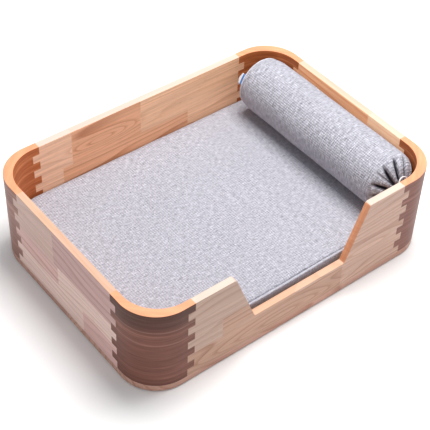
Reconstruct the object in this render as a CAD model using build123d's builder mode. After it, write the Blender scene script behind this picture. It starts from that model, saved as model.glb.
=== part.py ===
from build123d import *
import math
import os

# Dog bed: an open wooden tray with rounded corner blocks, a piped foam mattress and a bolster.
# Millimetres. +Z is up, the doorway faces -Y, and the origin is on the floor under the centre.

# The tray
LENGTH = 700.0  # outside, along X
WIDTH = 510.0  # outside, along Y
WALL = 15.0  # thickness of the boards
BASE = 15.0  # thickness of the base board
WALL_HEIGHT = 184.0
OUTER_RADIUS = 78.0  # of the tray's corners, outside
INNER_RADIUS = 74.0  # and inside, so that a corner block is thickest in its middle
EASING = 1.2  # rounding of the edges that a hand meets
BASE_CHAMFER = 1.2
TOUCH = 0.5  # how near an edge lies to the place it is chosen by

# The finger joints between the boards and the corner blocks
FINGERS = 10  # in the wall's height; the block has the top one, the board has the bottom one
FINGER_LENGTH = 15.0
BLOCK_REACH = 89.0  # from the outside of the tray to the roots of the block's fingers

# The doorway in the front board
SILL_ABOVE_BASE = 60.0
DOOR_BOTTOM = 218.0
DOOR_TOP = 316.0
DOOR_TOP_ROUND = 7.0
DOOR_SILL_ROUND = 3.0
DOOR_OVERCUT = 10.0  # how far past the rim the doorway's cut goes on

# Pads under the base, and the screws that hold it to the walls
PAD_RADIUS = 12.5
PAD_HEIGHT = 2.0
PAD_FROM_ARC_CENTRE = 50.0
SCREW_RADIUS = 2.0
SCREW_LENGTH = 35.0
SCREW_HEAD_RADIUS = 4.0
SCREW_TIP = 5.0
SCREWS_IN_LONG_BOARD = (-190.0, 0.0, 190.0)  # places along X
SCREWS_IN_SHORT_BOARD = (-95.0, 95.0)  # places along Y
COUNTERSINK_ANGLE = 90.0
HEAD_CLEARANCE = 0.2
RECESS_WIDTH = 0.9
RECESS_SPAN = 4.6
RECESS_DEPTH = 1.2
DIAGONAL = math.cos(math.radians(45))

# The mattress
FABRIC = 1.5  # thickness of the cover's panels
MATTRESS_GAP_X = 6.0  # to the end boards
MATTRESS_GAP_Y = 7.0  # to the front and back boards
MATTRESS_CORNER = 67.0
MATTRESS_SIDE = 67.3  # height of its upright side, panels included
CROWN = 5.5  # rise of the top from its edge
CROWN_TAPER = 68.0  # degrees from upright
PIPING_RADIUS = 2.5
BODY_GAP = 0.2  # under the mattress and under the bolster

# The zip in the back of the mattress cover
ZIP_OPENING = 440.0
ZIP_HEIGHT = 22.0
ZIP_Z = 50.0
TAPE = 0.8
COIL_HEIGHT = 3.0
COIL_THICKNESS = 1.9
COIL_END = 6.0  # the coil stops short of the opening's end
COIL_ROUND = 0.45
SLIDER_X = 205.0
SLIDER_LENGTH = 11.0
SLIDER_HEIGHT = 12.0
SLIDER_PLATE = 1.2
SLIDER_CLEARANCE = 0.3
SLIDER_ROUND = 2.4
FLANGE_LENGTH = 5.5
BRIDGE_LENGTH = 6.6
BRIDGE_WIDTH = 2.4
BRIDGE_RISE = 1.4
BRIDGE_ROUND = 0.3

# The bolster, lying along the right end
BOLSTER_RADIUS = 59.8
BOLSTER_X = 273.7
FAR_END = 203.0
FAR_ROUND = 13.0
SEAM_Y = 199.5  # where the end panel meets the cover
NEAR_SHOULDER = -188.0  # where the gathered end starts to draw in
NEAR_ROUND = 28.0
NEAR_TURN = 70.0  # degrees
MOUTH_Y = -224.5
MOUTH_RADIUS = 12.0
COVER = 1.2
END_PIPING_RADIUS = 1.6
CORNER_CLEARANCE = 2.0  # between the bolster and the corner blocks that it is shaped by

# The drawcord's loop, and the label in the far seam
CORD_RADIUS = 1.4
CORD_ARC_SHARE = 0.45  # of the shorter run beside a corner of its route, taken by the corner's arc
LABEL_WIDTH = 24.0
LABEL_LENGTH = 14.0
LABEL_THICKNESS = 1.6
LABEL_ANGLE = 153.0  # round the bolster's axis, from +X towards +Z
LABEL_RADIUS = 53.3
LABEL_FOLD = 0.7  # rounding of the fold, each side

# Worked out from the above
HALF_LENGTH = LENGTH / 2
HALF_WIDTH = WIDTH / 2
BASE_Z = PAD_HEIGHT
WALL_Z = BASE_Z + BASE
RIM_Z = WALL_Z + WALL_HEIGHT
SILL_Z = WALL_Z + SILL_ABOVE_BASE
FINGER_PITCH = WALL_HEIGHT / FINGERS
BLOCK_TIP = BLOCK_REACH + FINGER_LENGTH
ARC_X = HALF_LENGTH - OUTER_RADIUS
ARC_Y = HALF_WIDTH - OUTER_RADIUS

MATTRESS_LENGTH = LENGTH - 2 * WALL - 2 * MATTRESS_GAP_X
MATTRESS_WIDTH = WIDTH - 2 * WALL - 2 * MATTRESS_GAP_Y
MATTRESS_Z = WALL_Z + BODY_GAP
SIDE_Z = MATTRESS_Z + FABRIC
SIDE_TOP = MATTRESS_Z + MATTRESS_SIDE
MATTRESS_TOP = SIDE_TOP + CROWN
MATTRESS_BACK = MATTRESS_WIDTH / 2

BOLSTER_Z = MATTRESS_TOP + BODY_GAP + BOLSTER_RADIUS
SIDES = [("left", -1), ("right", 1)]
ENDS = [("front", -1), ("back", 1)]

os.makedirs("parts", exist_ok=True)


def save(piece, name):
    """Label a finished piece and write its STEP file."""
    piece.part.label = name
    export_step(piece.part, f"parts/{name}.step")


# ---------------------------------------------------------------- the tray


def screw_points():
    """Where the screws come up through the base, under each wall piece, on the wall's centreline."""
    wall_x = HALF_LENGTH - WALL / 2
    wall_y = HALF_WIDTH - WALL / 2
    block = (OUTER_RADIUS - WALL / 2) * DIAGONAL
    points = {}
    for end, sy in ENDS:
        points[f"{end}_board"] = [(x, sy * wall_y) for x in SCREWS_IN_LONG_BOARD]
    for side, sx in SIDES:
        points[f"{side}_board"] = [(sx * wall_x, y) for y in SCREWS_IN_SHORT_BOARD]
    for end, sy in ENDS:
        for side, sx in SIDES:
            points[f"corner_{end}_{side}"] = [(sx * (ARC_X + block), sy * (ARC_Y + block))]
    return points


def finger_heights(first):
    """Mid-heights of every second finger, counted down from the rim."""
    return [RIM_Z - (i + 0.5) * FINGER_PITCH for i in range(first, FINGERS, 2)]


def wall_plan(x_size, y_size, centre):
    """Draw the stretch of the wall's plan that lies inside a rectangle."""
    RectangleRounded(LENGTH, WIDTH, OUTER_RADIUS)
    RectangleRounded(LENGTH - 2 * WALL, WIDTH - 2 * WALL, INNER_RADIUS, mode=Mode.SUBTRACT)
    with Locations(centre):
        Rectangle(x_size, y_size, mode=Mode.INTERSECT)


def drill_pilots(points):
    """Take the screws' pilot holes out of the underside of a wall piece."""
    depth = SCREW_LENGTH - BASE
    with Locations(*[(x, y, WALL_Z + depth / 2) for x, y in points]):
        Cylinder(SCREW_RADIUS, depth, mode=Mode.SUBTRACT)


def rim_edges(piece):
    """The rim's long edges, outside and inside, without the ends where two pieces meet."""
    tip_x = HALF_LENGTH - BLOCK_TIP
    tip_y = HALF_WIDTH - BLOCK_TIP
    return ShapeList(
        edge
        for edge in piece.faces().sort_by(Axis.Z)[-1].edges()
        if abs(abs(edge.center().X) - tip_x) > EASING and abs(abs(edge.center().Y) - tip_y) > EASING
    )


def make_corner(name, sx, sy, pilots):
    """A solid corner block with fingers on both its ends."""
    centre = (sx * (HALF_LENGTH - BLOCK_REACH / 2), sy * (HALF_WIDTH - BLOCK_REACH / 2))
    finger_x = sx * (HALF_LENGTH - BLOCK_REACH - FINGER_LENGTH / 2)
    finger_y = sy * (HALF_WIDTH - BLOCK_REACH - FINGER_LENGTH / 2)
    with BuildPart() as corner:
        with BuildSketch(Plane.XY.offset(WALL_Z)):
            wall_plan(BLOCK_REACH, BLOCK_REACH, centre)
        extrude(amount=WALL_HEIGHT)
        heights = finger_heights(0)
        with Locations(*[(finger_x, sy * (HALF_WIDTH - WALL / 2), z) for z in heights]):
            Box(FINGER_LENGTH, WALL, FINGER_PITCH)
        with Locations(*[(sx * (HALF_LENGTH - WALL / 2), finger_y, z) for z in heights]):
            Box(WALL, FINGER_LENGTH, FINGER_PITCH)
        fillet(rim_edges(corner), EASING)
        drill_pilots(pilots)
    save(corner, name)


def doorway_corners():
    """The doorway's corners in the XZ plane: a trapezoid, wider at the rim, cut past the rim."""
    slope = (DOOR_TOP - DOOR_BOTTOM) / 2 / (RIM_Z - SILL_Z)
    top = DOOR_TOP / 2 + DOOR_OVERCUT * slope
    top_z = RIM_Z + DOOR_OVERCUT
    low = DOOR_BOTTOM / 2
    return [(-top, top_z), (-low, SILL_Z), (low, SILL_Z), (top, top_z)]


def make_long_board(name, sy, pilots, doorway=False):
    """The front or the back board, along X; the front one has the doorway."""
    body = LENGTH - 2 * BLOCK_TIP
    y_mid = sy * (HALF_WIDTH - WALL / 2)
    with BuildPart() as board:
        with BuildSketch(Plane.XY.offset(WALL_Z)):
            wall_plan(body, WALL, (0, y_mid))
        extrude(amount=WALL_HEIGHT)
        finger_x = body / 2 + FINGER_LENGTH / 2
        with Locations(*[(sx * finger_x, y_mid, z) for sx in (-1, 1) for z in finger_heights(1)]):
            Box(FINGER_LENGTH, WALL, FINGER_PITCH)
        if doorway:
            with BuildSketch(Plane.XZ):
                with BuildLine():
                    Polyline(*doorway_corners(), close=True)
                make_face()
            extrude(amount=HALF_WIDTH + WALL, mode=Mode.SUBTRACT)
            for width, height, rounding in [
                (DOOR_TOP, RIM_Z, DOOR_TOP_ROUND),
                (DOOR_BOTTOM, SILL_Z, DOOR_SILL_ROUND),
            ]:
                corners = [e for e in board.edges() if is_door_corner(e, width, height)]
                fillet(corners, rounding)
            fillet([e for e in board.edges() if on_upper_outline(e)], EASING)
        else:
            fillet(rim_edges(board), EASING)
        drill_pilots(pilots)
    save(board, name)


def is_door_corner(edge, width, height):
    """Whether an edge runs through the front board at a corner of the doorway."""
    middle = edge.center()
    return abs(abs(middle.X) - width / 2) < TOUCH and abs(middle.Z - height) < TOUCH


def on_upper_outline(edge):
    """Whether an edge follows the front board's rim or doorway, on its outside or inside face."""
    middle = edge.center()
    through_board = abs(abs(middle.Y) - (HALF_WIDTH - WALL / 2)) < TOUCH
    on_body = abs(middle.X) < HALF_LENGTH - BLOCK_TIP - TOUCH
    return not through_board and on_body and middle.Z > SILL_Z - TOUCH


def make_short_board(name, sx, pilots):
    """The left or the right board, along Y."""
    body = WIDTH - 2 * BLOCK_TIP
    x_mid = sx * (HALF_LENGTH - WALL / 2)
    with BuildPart() as board:
        with BuildSketch(Plane.XY.offset(WALL_Z)):
            wall_plan(WALL, body, (x_mid, 0))
        extrude(amount=WALL_HEIGHT)
        finger_y = body / 2 + FINGER_LENGTH / 2
        with Locations(*[(x_mid, sy * finger_y, z) for sy in (-1, 1) for z in finger_heights(1)]):
            Box(WALL, FINGER_LENGTH, FINGER_PITCH)
        fillet(rim_edges(board), EASING)
        drill_pilots(pilots)
    save(board, name)


def make_base(points):
    """The base board: the tray's whole outline, with countersunk holes from below."""
    with BuildPart() as base:
        with BuildSketch(Plane.XY.offset(BASE_Z)):
            RectangleRounded(LENGTH, WIDTH, OUTER_RADIUS)
        extrude(amount=BASE)
        chamfer(base.faces().sort_by(Axis.Z)[0].edges(), BASE_CHAMFER)
        from_below = [Plane(origin=(x, y, BASE_Z), z_dir=(0, 0, -1)) for x, y in points]
        with Locations(*from_below):
            CounterSinkHole(
                SCREW_RADIUS + HEAD_CLEARANCE,
                SCREW_HEAD_RADIUS + HEAD_CLEARANCE,
                depth=BASE,
                counter_sink_angle=COUNTERSINK_ANGLE,
            )
    save(base, "base_board")


def make_screws(points):
    """Countersunk wood screws, driven up from the base's underside, as one group."""
    shank = SCREW_LENGTH - SCREW_TIP
    neck = SCREW_HEAD_RADIUS - SCREW_RADIUS
    with BuildPart() as screw:
        with BuildSketch(Plane.XZ):
            with BuildLine():
                Polyline(
                    (0, 0),
                    (SCREW_HEAD_RADIUS, 0),
                    (SCREW_RADIUS, neck),
                    (SCREW_RADIUS, shank),
                    (0, SCREW_LENGTH),
                    close=True,
                )
            make_face()
        revolve(axis=Axis.Z)
        for turn in (0, 90):
            with Locations(Location((0, 0, RECESS_DEPTH / 2), (0, 0, turn))):
                Box(RECESS_SPAN, RECESS_WIDTH, RECESS_DEPTH, mode=Mode.SUBTRACT)
    with BuildPart() as screws:
        with Locations(*[(x, y, BASE_Z) for x, y in points]):
            add(screw.part)
    save(screws, "base_screws")


def make_pad(name, sx, sy):
    """A thin round non-slip pad under one corner of the base."""
    reach = PAD_FROM_ARC_CENTRE * DIAGONAL
    with BuildPart() as pad:
        with BuildSketch():
            with Locations((sx * (ARC_X + reach), sy * (ARC_Y + reach))):
                Circle(PAD_RADIUS)
        extrude(amount=PAD_HEIGHT)
        chamfer(pad.faces().sort_by(Axis.Z)[0].edges(), PAD_HEIGHT / 4)
    save(pad, name)


# ------------------------------------------------------------ the mattress


def mattress_outline(inset=0.0, mode=Mode.ADD):
    """Draw the mattress's outline, moved in by a distance."""
    RectangleRounded(
        MATTRESS_LENGTH - 2 * inset,
        MATTRESS_WIDTH - 2 * inset,
        MATTRESS_CORNER - inset,
        mode=mode,
    )


def make_foam():
    """The foam slab, with a slightly crowned top."""
    with BuildPart() as foam:
        with BuildSketch(Plane.XY.offset(SIDE_Z)):
            mattress_outline(FABRIC)
        extrude(amount=SIDE_TOP - SIDE_Z)
        with BuildSketch(Plane.XY.offset(SIDE_TOP)):
            mattress_outline(FABRIC)
        extrude(amount=CROWN - FABRIC, taper=CROWN_TAPER)
    save(foam, "mattress_foam")
    return foam


def make_top_panel(foam):
    """The cover's top panel, which follows the foam's crown."""
    with BuildPart() as panel:
        with BuildSketch(Plane.XY.offset(SIDE_TOP)):
            mattress_outline()
        extrude(amount=CROWN, taper=CROWN_TAPER)
        add(foam.part, mode=Mode.SUBTRACT)
    save(panel, "mattress_top_panel")
    return panel


def make_bottom_panel():
    """The cover's bottom panel, of non-slip cloth."""
    with BuildPart() as panel:
        with BuildSketch(Plane.XY.offset(MATTRESS_Z)):
            mattress_outline()
        extrude(amount=FABRIC)
    save(panel, "mattress_bottom_panel")
    return panel


def make_boxing():
    """The cover's side band, open at the back where the zip is sewn in."""
    with BuildPart() as boxing:
        with BuildSketch(Plane.XY.offset(SIDE_Z)):
            mattress_outline()
            mattress_outline(FABRIC, mode=Mode.SUBTRACT)
        extrude(amount=SIDE_TOP - SIDE_Z)
        with Locations((0, MATTRESS_BACK, ZIP_Z)):
            Box(ZIP_OPENING, 4 * FABRIC, ZIP_HEIGHT, mode=Mode.SUBTRACT)
    save(boxing, "mattress_boxing")
    return boxing


def make_piping(name, height, neighbours):
    """A round piping along the mattress's edge, cut where the panels it is sewn between lie."""
    half_x = MATTRESS_LENGTH / 2
    half_y = MATTRESS_WIDTH / 2
    corners = [(-half_x, -half_y), (half_x, -half_y), (half_x, half_y), (-half_x, half_y)]
    with BuildPart() as piping:
        with BuildLine(Plane.XY.offset(height)) as edge:
            FilletPolyline(*corners, radius=MATTRESS_CORNER, close=True)
        with BuildSketch(edge.line ^ 0):
            Circle(PIPING_RADIUS)
        sweep()
        for neighbour in neighbours:
            add(neighbour.part, mode=Mode.SUBTRACT)
    save(piping, name)


def make_zip():
    """The zip's two tapes and its coil, in the opening of the boxing."""
    inside = MATTRESS_BACK - FABRIC
    tape_height = (ZIP_HEIGHT - COIL_HEIGHT) / 2
    for name, side in [("zip_tape_upper", 1), ("zip_tape_lower", -1)]:
        z_mid = ZIP_Z + side * (COIL_HEIGHT + tape_height) / 2
        with BuildPart() as tape:
            with Locations((0, inside + TAPE / 2, z_mid)):
                Box(ZIP_OPENING, TAPE, tape_height)
        save(tape, name)
    with BuildPart() as coil:
        with Locations((0, inside + COIL_THICKNESS / 2, ZIP_Z)):
            Box(ZIP_OPENING - 2 * COIL_END, COIL_THICKNESS, COIL_HEIGHT)
        fillet(coil.edges().filter_by(Axis.X).group_by(Axis.Y)[-1], COIL_ROUND)
    save(coil, "zip_coil")


def make_slider():
    """The zip's slider: a plate over the coil with a flange each side of it and a low bridge."""
    coil_face = MATTRESS_BACK - FABRIC + COIL_THICKNESS
    tape_face = MATTRESS_BACK - FABRIC + TAPE
    plate_y = coil_face + SLIDER_CLEARANCE
    flange_y = tape_face + SLIDER_CLEARANCE
    bridge_y = plate_y + SLIDER_PLATE
    with BuildPart() as slider:
        with Locations((SLIDER_X, plate_y + SLIDER_PLATE / 2, ZIP_Z)):
            Box(SLIDER_LENGTH, SLIDER_PLATE, SLIDER_HEIGHT)
        fillet(slider.edges().filter_by(Axis.Y), SLIDER_ROUND)
        flange_z = (SLIDER_HEIGHT - SLIDER_PLATE) / 2
        with Locations(*[(SLIDER_X, (plate_y + flange_y) / 2, ZIP_Z + s * flange_z) for s in (-1, 1)]):
            Box(FLANGE_LENGTH, plate_y - flange_y, SLIDER_PLATE)
        with Locations((SLIDER_X, bridge_y + BRIDGE_RISE / 2, ZIP_Z)):
            Box(BRIDGE_LENGTH, BRIDGE_RISE, BRIDGE_WIDTH)
        fillet(slider.faces().sort_by(Axis.Y)[-1].edges(), BRIDGE_ROUND)
    save(slider, "zip_slider")


# ------------------------------------------------------------- the bolster

BOLSTER_PLANE = Plane(origin=(BOLSTER_X, 0, BOLSTER_Z), x_dir=(0, 1, 0), z_dir=(1, 0, 0))
BOLSTER_AXIS = Axis((BOLSTER_X, 0, BOLSTER_Z), (0, 1, 0))


def tray_inside(clearance):
    """The plan of the tray's inside, moved in by a clearance."""
    RectangleRounded(
        LENGTH - 2 * WALL - 2 * clearance,
        WIDTH - 2 * WALL - 2 * clearance,
        INNER_RADIUS - clearance,
    )


def bolster_solid(skin):
    """The bolster's solid at a depth below its surface, kept off the corner blocks."""
    radius = BOLSTER_RADIUS - skin
    turn = math.radians(NEAR_TURN)
    near_round = NEAR_ROUND - skin
    near_arc = BOLSTER_RADIUS - NEAR_ROUND
    near_mid = (NEAR_SHOULDER - near_round * math.sin(turn / 2), near_arc + near_round * math.cos(turn / 2))
    near_end = (NEAR_SHOULDER - near_round * math.sin(turn), near_arc + near_round * math.cos(turn))
    mouth = (MOUTH_Y + skin / math.sin(turn), MOUTH_RADIUS)
    far = FAR_END - skin
    far_round = FAR_ROUND - skin
    far_arc = (FAR_END - FAR_ROUND, BOLSTER_RADIUS - FAR_ROUND)
    far_mid = far_round * DIAGONAL
    with BuildPart() as solid:
        with BuildSketch(BOLSTER_PLANE):
            with BuildLine():
                Polyline((mouth[0], 0), mouth, near_end)
                ThreePointArc(near_end, near_mid, (NEAR_SHOULDER, radius))
                Line((NEAR_SHOULDER, radius), (far_arc[0], radius))
                ThreePointArc(
                    (far_arc[0], radius),
                    (far_arc[0] + far_mid, far_arc[1] + far_mid),
                    (far, far_arc[1]),
                )
                Polyline((far, far_arc[1]), (far, 0), (mouth[0], 0))
            make_face()
        revolve(axis=BOLSTER_AXIS)
        with BuildSketch(Plane.XY.offset(MATTRESS_Z)):
            tray_inside(CORNER_CLEARANCE + skin)
        extrude(amount=2 * WALL_HEIGHT, mode=Mode.INTERSECT)
    return solid


def make_bolster():
    """The stuffed pillow, the cover's tube and end panel, and the piping between them."""
    outside = bolster_solid(0.0)
    pillow = bolster_solid(COVER)
    save(pillow, "bolster_pillow")

    seam = Plane(origin=(BOLSTER_X, SEAM_Y, BOLSTER_Z), x_dir=(1, 0, 0), z_dir=(0, 1, 0))
    with BuildPart() as cover:
        add(outside.part)
        add(pillow.part, mode=Mode.SUBTRACT)
        split(bisect_by=seam, keep=Keep.BOTTOM)
        with BuildSketch(BOLSTER_PLANE):
            with Locations((MOUTH_Y, 0)):
                Rectangle(4 * COVER, 2 * (MOUTH_RADIUS - COVER), align=(Align.CENTER, Align.MIN))
        revolve(axis=BOLSTER_AXIS, mode=Mode.SUBTRACT)
    save(cover, "bolster_cover")

    with BuildPart() as panel:
        add(outside.part)
        add(pillow.part, mode=Mode.SUBTRACT)
        split(bisect_by=seam, keep=Keep.TOP)
    save(panel, "bolster_end_panel")

    seam_depth = SEAM_Y - (FAR_END - FAR_ROUND)
    rim = BOLSTER_RADIUS - FAR_ROUND + math.sqrt(FAR_ROUND**2 - seam_depth**2)
    with BuildPart() as piping:
        with BuildSketch(BOLSTER_PLANE):
            with Locations((SEAM_Y, rim)):
                Circle(END_PIPING_RADIUS)
        revolve(axis=BOLSTER_AXIS)
        with BuildSketch(Plane.XY.offset(MATTRESS_Z)):
            tray_inside(CORNER_CLEARANCE)
        extrude(amount=2 * WALL_HEIGHT, mode=Mode.INTERSECT)
        add(outside.part, mode=Mode.SUBTRACT)
    save(piping, "bolster_end_piping")
    return outside, piping


def make_label(outside, piping):
    """A folded ribbon label, sewn into the far seam and standing out past the end panel."""
    angle = math.radians(LABEL_ANGLE)
    middle = (
        BOLSTER_X + LABEL_RADIUS * math.cos(angle),
        SEAM_Y + LABEL_LENGTH / 2,
        BOLSTER_Z + LABEL_RADIUS * math.sin(angle),
    )
    along_seam = (-math.sin(angle), 0, math.cos(angle))
    outward = (math.cos(angle), 0, math.sin(angle))
    with BuildPart() as label:
        with BuildSketch(Plane(origin=middle, x_dir=along_seam, z_dir=outward)):
            Rectangle(LABEL_WIDTH, LABEL_LENGTH)
        extrude(amount=LABEL_THICKNESS / 2, both=True)
        fold = label.edges().sort_by(Axis.Y)[-2:]
        fillet(fold, LABEL_FOLD)
        add(outside.part, mode=Mode.SUBTRACT)
        add(piping.part, mode=Mode.SUBTRACT)
    save(label, "bolster_label")


def make_drawcord():
    """The drawcord's loop: out of the gathered mouth, up over the end and back into the mouth."""
    start_y = MOUTH_Y + COVER / math.sin(math.radians(NEAR_TURN))
    route = [  # from the bolster's axis in X and Z
        (-4.0, start_y, 0.0),
        (-4.0, -229.6, 0.0),
        (-9.0, -231.5, 9.0),
        (-12.0, -228.8, 19.0),
        (-10.0, -224.5, 28.5),
        (-3.5, -222.0, 34.5),
        (5.5, -222.2, 34.5),
        (12.5, -225.2, 27.5),
        (13.0, -229.6, 17.6),
        (9.5, -232.0, 8.4),
        (5.0, -229.6, 0.0),
        (5.0, start_y, 0.0),
    ]
    points = [Vector(BOLSTER_X + x, y, BOLSTER_Z + z) for x, y, z in route]
    runs = [b - a for a, b in zip(points, points[1:])]
    radii = []
    for before, after in zip(runs, runs[1:]):
        turn = math.radians(before.get_angle(after))
        shorter_run = min(before.length, after.length)
        radii.append(CORD_ARC_SHARE * shorter_run / math.tan(turn / 2))
    print("drawcord radii, mm:", [round(r, 1) for r in radii])
    with BuildPart() as cord:
        with BuildLine() as path:
            FilletPolyline(*points, radius=radii)
        with BuildSketch(path.line ^ 0):
            Circle(CORD_RADIUS)
        sweep()
    section = math.pi * CORD_RADIUS**2
    length = sum(edge.length for edge in path.edges())
    print(f"drawcord length {length:.1f} mm, volume ratio {cord.part.volume / (section * length):.3f}")
    save(cord, "bolster_drawcord")


pilots = screw_points()
all_screws = [point for points in pilots.values() for point in points]

make_base(all_screws)
make_screws(all_screws)
for end, sy in ENDS:
    make_long_board(f"{end}_board", sy, pilots[f"{end}_board"], doorway=end == "front")
for side, sx in SIDES:
    make_short_board(f"{side}_board", sx, pilots[f"{side}_board"])
for end, sy in ENDS:
    for side, sx in SIDES:
        make_corner(f"corner_{end}_{side}", sx, sy, pilots[f"corner_{end}_{side}"])
        make_pad(f"foot_pad_{end}_{side}", sx, sy)

foam = make_foam()
top_panel = make_top_panel(foam)
bottom_panel = make_bottom_panel()
boxing = make_boxing()
make_piping("mattress_piping_top", SIDE_TOP, [top_panel, boxing, foam])
make_piping("mattress_piping_bottom", MATTRESS_Z + PIPING_RADIUS, [bottom_panel, boxing, foam])
make_zip()
make_slider()

outside, end_piping = make_bolster()
make_label(outside, end_piping)
make_drawcord()
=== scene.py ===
import math

import bmesh
import bpy
from mathutils import Euler, Matrix, Vector, noise


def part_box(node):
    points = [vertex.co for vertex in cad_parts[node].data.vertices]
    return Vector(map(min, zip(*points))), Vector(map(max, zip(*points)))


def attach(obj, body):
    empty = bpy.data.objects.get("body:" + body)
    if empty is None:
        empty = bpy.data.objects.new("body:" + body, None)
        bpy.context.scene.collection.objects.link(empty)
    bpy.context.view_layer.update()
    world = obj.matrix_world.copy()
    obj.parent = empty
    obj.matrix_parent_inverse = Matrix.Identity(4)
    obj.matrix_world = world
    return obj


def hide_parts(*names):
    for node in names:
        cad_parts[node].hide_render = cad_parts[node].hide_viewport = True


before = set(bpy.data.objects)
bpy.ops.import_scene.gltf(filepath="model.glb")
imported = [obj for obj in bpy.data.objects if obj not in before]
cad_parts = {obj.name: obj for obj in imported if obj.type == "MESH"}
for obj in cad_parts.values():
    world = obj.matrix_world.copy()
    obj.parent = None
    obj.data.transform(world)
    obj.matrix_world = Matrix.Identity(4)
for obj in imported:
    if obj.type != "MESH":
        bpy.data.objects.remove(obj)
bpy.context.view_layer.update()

# Dog bed: a rounded wooden tray, a piped mattress and a gathered bolster. Metres, in the CAD frame.

MM = 0.001
SCENE = bpy.context.scene

TRAY_CORNER = Vector((0.261, 0.166))  # the centre that a corner block's arcs share, in X and Y
TRAY_CORNER_RADIUS = 74 * MM  # the radius of its inner arc

# ------------------------------------------------------------------ camera


CAMERA_LENS = 98.1
CAMERA_PLACE = (-1.0629, -1.2752, 1.6746)
CAMERA_TURN = (0.80101, -0.03183, -0.66358)


def make_camera():
    """A long lens above the tray's near left corner."""
    lens = bpy.data.cameras.new("camera")
    lens.lens = CAMERA_LENS
    lens.sensor_width = 36.0
    lens.clip_start = 0.05
    lens.clip_end = 50.0
    camera = bpy.data.objects.new("camera", lens)
    camera.location = CAMERA_PLACE
    camera.rotation_euler = Euler(CAMERA_TURN)
    SCENE.collection.objects.link(camera)
    SCENE.camera = camera


make_camera()

# ----------------------------------------------------------------- helpers


def rgb(red, green, blue):
    """A linear colour from display values of 0 to 255."""
    linear = []
    for value in (red, green, blue):
        share = value / 255
        linear.append(share / 12.92 if share <= 0.04045 else ((share + 0.055) / 1.055) ** 2.4)
    return (*linear, 1.0)


def add_object(name, data):
    """Link a new object to the scene."""
    made = bpy.data.objects.new(name, data)
    SCENE.collection.objects.link(made)
    return made


def mesh_object(name, points, faces):
    """A smooth mesh object from points and faces, with its normals facing out."""
    mesh = bpy.data.meshes.new(name)
    mesh.from_pydata([tuple(point) for point in points], [], faces)
    shape = bmesh.new()
    shape.from_mesh(mesh)
    bmesh.ops.recalc_face_normals(shape, faces=shape.faces)
    shape.to_mesh(mesh)
    shape.free()
    mesh.shade_smooth()
    return add_object(name, mesh)


def bake_modifiers(piece):
    """Replace a piece's mesh by what its modifiers make of it."""
    evaluated = piece.evaluated_get(bpy.context.evaluated_depsgraph_get())
    mesh = bpy.data.meshes.new_from_object(evaluated)
    piece.modifiers.clear()
    piece.data = mesh


def finish_piece(piece, body, material, replaced):
    """Give a piece its material, its body and the CAD nodes it stands for."""
    piece.data.materials.clear()
    piece.data.materials.append(material)
    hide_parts(*replaced)
    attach(piece, body)


def paint_node(name, material):
    """Give a CAD node that stays its material."""
    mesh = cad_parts[name].data
    mesh.materials.clear()
    mesh.materials.append(material)


class Shader:
    """A material, with short ways to add its nodes."""

    def __init__(self, name):
        self.material = bpy.data.materials.new(name)
        self.material.use_nodes = True
        self.tree = self.material.node_tree
        self.surface = self.tree.nodes["Principled BSDF"]

    def put(self, socket, value):
        """Link an output to a socket, or set the socket's value."""
        if isinstance(value, bpy.types.NodeSocket):
            self.tree.links.new(value, socket)
        else:
            socket.default_value = value

    def node(self, kind, inputs, **settings):
        """Add a node with its settings and inputs."""
        made = self.tree.nodes.new(kind)
        for key, value in settings.items():
            setattr(made, key, value)
        for key, value in inputs.items():
            self.put(made.inputs[key], value)
        return made

    def math(self, operation, *values):
        """A Math node's result."""
        return self.node("ShaderNodeMath", dict(enumerate(values)), operation=operation).outputs[0]

    def mix(self, share, first, second, blend="MIX"):
        """Two colours mixed by a share."""
        inputs = {0: share, 6: first, 7: second}
        return self.node("ShaderNodeMix", inputs, data_type="RGBA", blend_type=blend).outputs[2]

    def blend_values(self, share, first, second):
        """Two numbers mixed by a share."""
        return self.node("ShaderNodeMix", {0: share, 2: first, 3: second}).outputs[0]

    def ramp(self, value, stops, interpolation="LINEAR"):
        """A colour ramp's colour and alpha. Its stops are (place, colour)."""
        made = self.node("ShaderNodeValToRGB", {0: value})
        elements = made.color_ramp.elements
        made.color_ramp.interpolation = interpolation
        while len(elements) < len(stops):
            elements.new(0.5)
        for element, (place, colour) in zip(elements, stops):
            element.position = place
            element.color = colour
        return made.outputs[0], made.outputs[1]

    def axes(self):
        """The piece's own X, Y and Z, in metres."""
        place = self.node("ShaderNodeTexCoord", {}).outputs["Object"]
        return self.node("ShaderNodeSeparateXYZ", {0: place}).outputs

    def vector(self, x, y, z):
        """Three numbers as one vector."""
        return self.node("ShaderNodeCombineXYZ", {0: x, 1: y, 2: z}).outputs[0]

    def noise(self, x, y, z, detail=2.0, roughness=0.5):
        """Noise at a place given in numbers of features."""
        place = self.vector(x, y, z)
        inputs = {"Vector": place, "Scale": 1.0, "Detail": detail, "Roughness": roughness}
        return self.node("ShaderNodeTexNoise", inputs).outputs[0]

    def around(self, value, depth):
        """A noise value turned into a factor that varies by depth each side of one."""
        return self.math("MULTIPLY_ADD", value, 2 * depth, 1 - depth)

    def tint(self, colour, factor):
        """A colour multiplied by a number."""
        return self.mix(1.0, colour, self.vector(factor, factor, factor), "MULTIPLY")

    def bump(self, height, depth):
        """Give the surface a relief of a depth in metres."""
        inputs = {"Strength": 1.0, "Distance": depth, "Height": height}
        self.put(self.surface.inputs["Normal"], self.node("ShaderNodeBump", inputs).outputs[0])

    def finish(self, colour, roughness, **values):
        """Set the surface's colour, roughness and other values."""
        self.put(self.surface.inputs["Base Color"], colour)
        self.put(self.surface.inputs["Roughness"], roughness)
        for name, value in values.items():
            self.surface.inputs[name.replace("_", " ")].default_value = value
        return self.material


# ---------------------------------------------------------------- drawcord

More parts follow.
